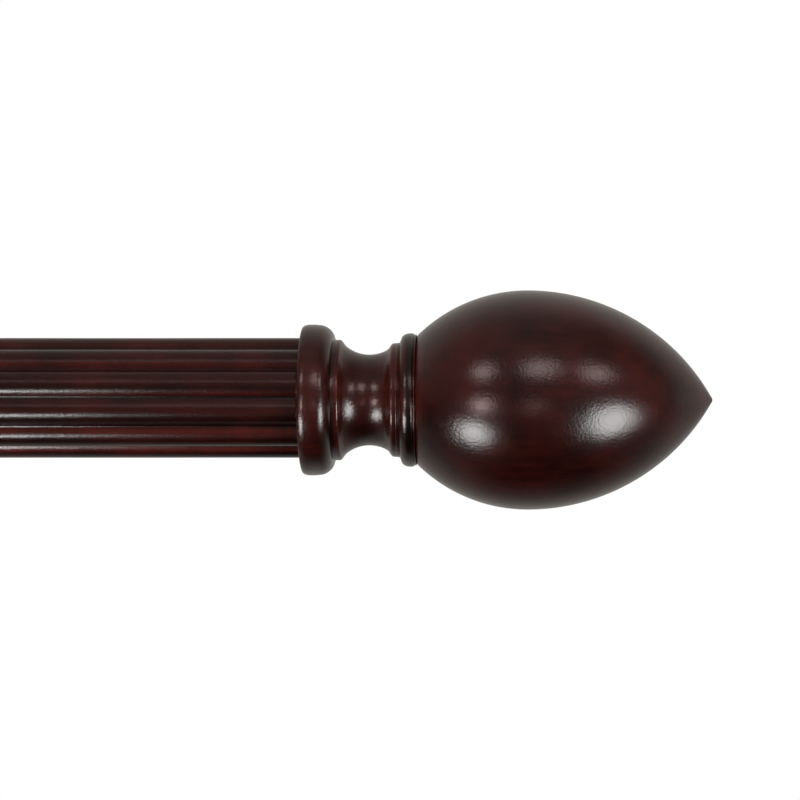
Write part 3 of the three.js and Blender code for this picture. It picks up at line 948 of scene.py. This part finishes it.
# Each lamp: where it is from AIM, its width and height, its radiance. Three spare the pole, two
# light nothing else, and four light everything.
lower_left = softbox("lower_left", (-0.160, -0.199, -0.168), (0.122, 0.118), 14.5)
upper_left = softbox("upper_left", (-0.163, -0.284, 0.178), (0.075, 0.085), 7.8, WARM)
front_left = softbox("front_left", (-0.137, -0.268, -0.030), (0.06, 0.06), 13.5, WARM)
for lamp in (lower_left, upper_left, front_left):
    light_link(lamp, "EXCLUDE", reeded_pole)
pole_left = softbox("pole_left", (-0.215, -0.199, -0.176), (0.14, 0.085), 17)
pole_strip = softbox(
    "pole_strip", (-0.06, -0.284, 0.168), (0.55, 0.045), 0.75, shape="RECTANGLE")
for lamp in (pole_left, pole_strip):
    light_link(lamp, "INCLUDE", reeded_pole)
softbox("lower_right", (0.398, -0.311, -0.173), (0.22, 0.26), 13.3)
softbox("upper_middle", (0.086, -0.399, 0.246), (0.15, 0.125), 5.0, WARM)
softbox("upper_right", (0.354, -0.357, 0.229), (0.12, 0.13), 6.4, WARM)
softbox("front_middle", (0.060, -0.450, -0.048), (0.10, 0.10), 1.3, WARM)

# Two long lamps for the half of the object that lies outside the picture.
FAR_AIM = Vector((-0.27, POLE_AXIS.y, POLE_AXIS.z))
far_low = softbox(
    "far_low", (0, -0.33, -0.19), (0.46, 0.12), 7.5, shape="RECTANGLE", aim=FAR_AIM)
far_high = softbox(
    "far_high", (0, -0.38, 0.25), (0.46, 0.10), 3.6, WARM, shape="RECTANGLE", aim=FAR_AIM)
for lamp in (far_low, far_high):
    light_link(lamp, "EXCLUDE", right_base, right_bulb)

# A dim sheet low behind the object, which shows on the underside of the base and, less, the pole.
for piece, radiance in ((right_base, 0.16), (reeded_pole, 0.09)):
    sheet = softbox(
        f"low_sheet_{piece.name}", (-0.12, 0.14, -0.27), (0.34, 0.24), radiance, shape="RECTANGLE")
    light_link(sheet, "INCLUDE", piece)

# A fill light that leaves no highlight.
fill = softbox("fill", (0.05, -0.30, 0.62), (0.9, 0.6), 1.7, shape="RECTANGLE")
fill.visible_glossy = False

# Brightness round the object by height angle: 0 is the camera's side, 180 the far side.
SURROUND = [
    (-180, 0.56), (-146, 0.43), (-130, 0.30), (-114, 0.13), (-94, 0.0), (-50, 0.0), (-34, 0.02),
    (-20, 0.05), (0, 0.11), (40, 0.16), (90, 0.26), (106, 0.41), (131, 0.54), (180, 0.56),
]
SURROUND_TINT = (1, 0.97, 0.90)
# Glow from both sides below the object, and dimming at the upper right, by the same angle and
# by the direction's X, from none to all.
LOW_GLOW = [(-150, 0.0), (-130, 0.15), (-95, 0.15), (-60, 0.0)]
GLOW_RIGHT = (0.5, 0.8)
GLOW_LEFT = (-0.28, -0.6)
UPPER_DIM = [(45, 0.0), (70, 0.5), (98, 0.5), (120, 0.0)]
DIM_RIGHT = (0.05, 0.5)


def by_height(shader, share, table, tint=(1, 1, 1)):
    """A table of (angle, level) as a ramp. share is the angle's place in a full turn, 0 to 1."""
    stops = []
    for degrees, level in table:
        stops.append((0.5 + degrees / 360, [level * channel for channel in tint]))
    return shader.ramp(share, stops)


def studio():
    """The camera sees white, and the object reflects the surroundings."""
    world = bpy.data.worlds.new("studio")
    world.use_nodes = True
    bpy.context.scene.world = world
    shader = Shader(world.node_tree)
    direction = shader.add("ShaderNodeTexCoord").outputs["Generated"]
    parts = shader.add("ShaderNodeSeparateXYZ", {"Vector": direction})
    front = shader.math("MULTIPLY", parts.outputs["Y"], -1)
    angle = shader.math("ARCTAN2", parts.outputs["Z"], front)
    share = shader.math("MULTIPLY_ADD", angle, 0.5 / math.pi)
    share.node.inputs[2].default_value = 0.5
    x = parts.outputs["X"]
    aside = shader.math("ADD", shader.map_range(x, *GLOW_LEFT), shader.map_range(x, *GLOW_RIGHT))
    glow = shader.math("MULTIPLY", aside, by_height(shader, share, LOW_GLOW))
    right = shader.map_range(x, *DIM_RIGHT)
    dim = shader.math("MULTIPLY", right, by_height(shader, share, UPPER_DIM))
    gradient = by_height(shader, share, SURROUND, SURROUND_TINT)
    kept = shader.math("SUBTRACT", 1, dim)
    base = shader.add("ShaderNodeBackground", {"Color": gradient, "Strength": kept})
    added = shader.add("ShaderNodeBackground", {"Color": (*SURROUND_TINT, 1), "Strength": glow})
    surround = shader.add("ShaderNodeAddShader", {0: base.outputs[0], 1: added.outputs[0]})
    white = shader.add("ShaderNodeBackground", {"Color": (1, 1, 1, 1)})
    seen = shader.add("ShaderNodeLightPath").outputs["Is Camera Ray"]
    sockets = {0: seen, 1: surround.outputs[0], 2: white.outputs[0]}
    both = shader.add("ShaderNodeMixShader", sockets)
    shader.add("ShaderNodeOutputWorld", {"Surface": both.outputs[0]})


FLOOR_HEIGHT = -0.35
FLOOR_REACH = 6.0


def floor():
    """A plain white sheet well below the object, seen by the camera only."""
    mesh = bpy.data.meshes.new("floor")
    reach = FLOOR_REACH
    corners = [(-reach, -reach), (reach, -reach), (reach, reach), (-reach, reach)]
    mesh.from_pydata([(x, y, FLOOR_HEIGHT) for x, y in corners], [], [(0, 1, 2, 3)])
    sheet = bpy.data.objects.new("floor", mesh)
    bpy.context.scene.collection.objects.link(sheet)
    material, shader = new_material("white_sheet")
    glow = shader.add("ShaderNodeEmission", {"Color": (1, 1, 1, 1), "Strength": 1.0})
    shader.add("ShaderNodeOutputMaterial", {"Surface": glow.outputs[0]})
    mesh.materials.append(material)
    sheet.visible_diffuse = False
    sheet.visible_glossy = False
    sheet.visible_transmission = False
    sheet.visible_shadow = False


studio()
floor()
